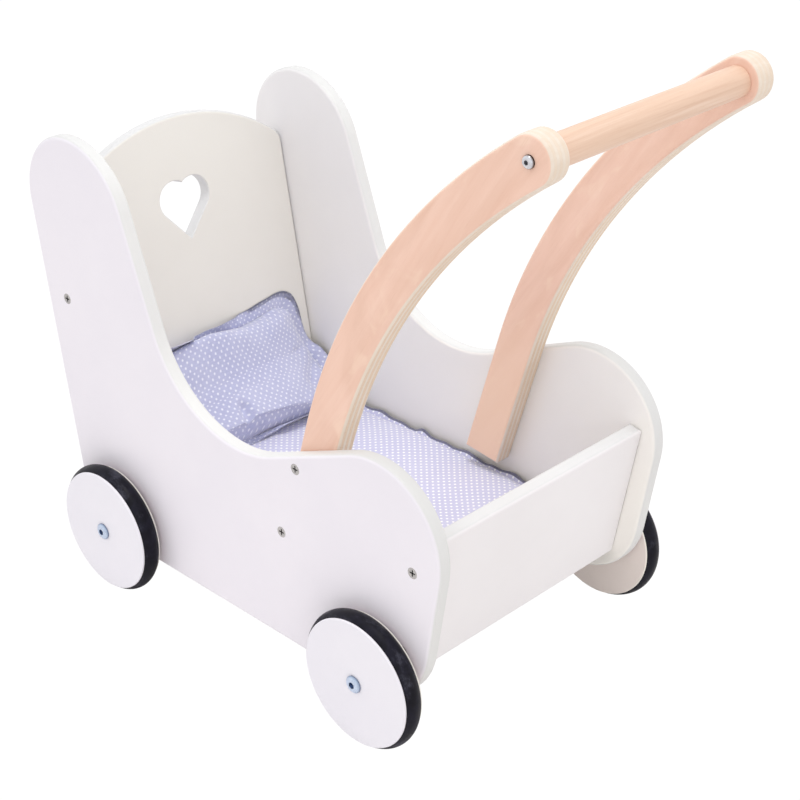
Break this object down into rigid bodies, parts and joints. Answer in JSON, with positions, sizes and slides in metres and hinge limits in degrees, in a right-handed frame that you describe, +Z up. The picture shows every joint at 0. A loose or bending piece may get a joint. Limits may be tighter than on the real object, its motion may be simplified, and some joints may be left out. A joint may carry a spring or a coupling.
{
  "type": "doll stroller",
  "caption": "Wooden doll stroller: board cradle with arched headboard and heart cut-out, curved push handle, rubber-tyred wheels, mattress and pillow.",
  "frame": {"origin": "on the floor, under the middle of the whole object", "axes": "+X to the right of a person at the handle who looks along the stroller, +Y towards the headboard, the way it is pushed, +Z up"},
  "size_m": [0.3058, 0.5318, 0.5018],
  "materials": {
    "white_board": "fine-fibre board under satin white paint, edges rounded",
    "painted_disc": "turned disc under satin white paint",
    "birch_ply": "birch plywood under clear satin lacquer, veneers showing along the edges",
    "beech_dowel": "straight-grained dowel, clear satin lacquer",
    "black_tyre": "smooth black rubber, soft gloss",
    "zinc_steel": "bright zinc plate with a blue tint",
    "chrome_screw": "polished nickel plate",
    "brass_insert": "plain turned brass",
    "bush_nylon": "natural nylon",
    "dotted_cotton": "plain-weave cotton, lavender blue with small white dots"
  },
  "bodies": {
    "frame": {"side_panel_left": "white_board", "side_panel_right": "white_board", "headboard": "white_board", "foot_board": "white_board", "floor_board": "white_board", "handle_arm_left": "birch_ply", "handle_arm_right": "birch_ply", "handle_bar": "beech_dowel", "handle_bar_screw_left": "chrome_screw", "handle_bar_screw_right": "chrome_screw", "handle_bar_insert_left": "brass_insert", "handle_bar_insert_right": "brass_insert", "headboard_screws": "chrome_screw", "foot_board_screws": "chrome_screw", "handle_arm_screws": "chrome_screw", "wheel_bolt_front_left": "zinc_steel", "wheel_spacer_front_left": "zinc_steel", "wheel_nut_front_left": "zinc_steel", "wheel_bolt_front_right": "zinc_steel", "wheel_spacer_front_right": "zinc_steel", "wheel_nut_front_right": "zinc_steel", "wheel_bolt_rear_left": "zinc_steel", "wheel_spacer_rear_left": "zinc_steel", "wheel_nut_rear_left": "zinc_steel", "wheel_bolt_rear_right": "zinc_steel", "wheel_spacer_rear_right": "zinc_steel", "wheel_nut_rear_right": "zinc_steel"},
    "mattress": {"mattress": "dotted_cotton"},
    "pillow": {"pillow": "dotted_cotton"},
    "wheel_front_left": {"wheel_disc_front_left": "painted_disc", "tyre_front_left": "black_tyre", "wheel_bush_front_left": "bush_nylon"},
    "wheel_front_right": {"wheel_disc_front_right": "painted_disc", "tyre_front_right": "black_tyre", "wheel_bush_front_right": "bush_nylon"},
    "wheel_rear_left": {"wheel_disc_rear_left": "painted_disc", "tyre_rear_left": "black_tyre", "wheel_bush_rear_left": "bush_nylon"},
    "wheel_rear_right": {"wheel_disc_rear_right": "painted_disc", "tyre_rear_right": "black_tyre", "wheel_bush_rear_right": "bush_nylon"}
  },
  "joints": [
    {"name": "front_left_axle", "type": "hinge", "parent": "frame", "child": "wheel_front_left", "pos_m": [-0.141, 0.172, 0.056], "axis": [1, 0, 0], "continuous": true},
    {"name": "front_right_axle", "type": "hinge", "parent": "frame", "child": "wheel_front_right", "pos_m": [0.141, 0.172, 0.056], "axis": [1, 0, 0], "continuous": true},
    {"name": "rear_left_axle", "type": "hinge", "parent": "frame", "child": "wheel_rear_left", "pos_m": [-0.141, -0.128, 0.056], "axis": [1, 0, 0], "continuous": true},
    {"name": "rear_right_axle", "type": "hinge", "parent": "frame", "child": "wheel_rear_right", "pos_m": [0.141, -0.128, 0.056], "axis": [1, 0, 0], "continuous": true},
    {"name": "mattress_lift", "type": "slide", "parent": "frame", "child": "mattress", "axis": [0, 0, 1], "range_m": [0, 0.008]},
    {"name": "pillow_lift", "type": "slide", "parent": "mattress", "child": "pillow", "axis": [0, 0, 1], "range_m": [0, 0.25]}
  ]
}
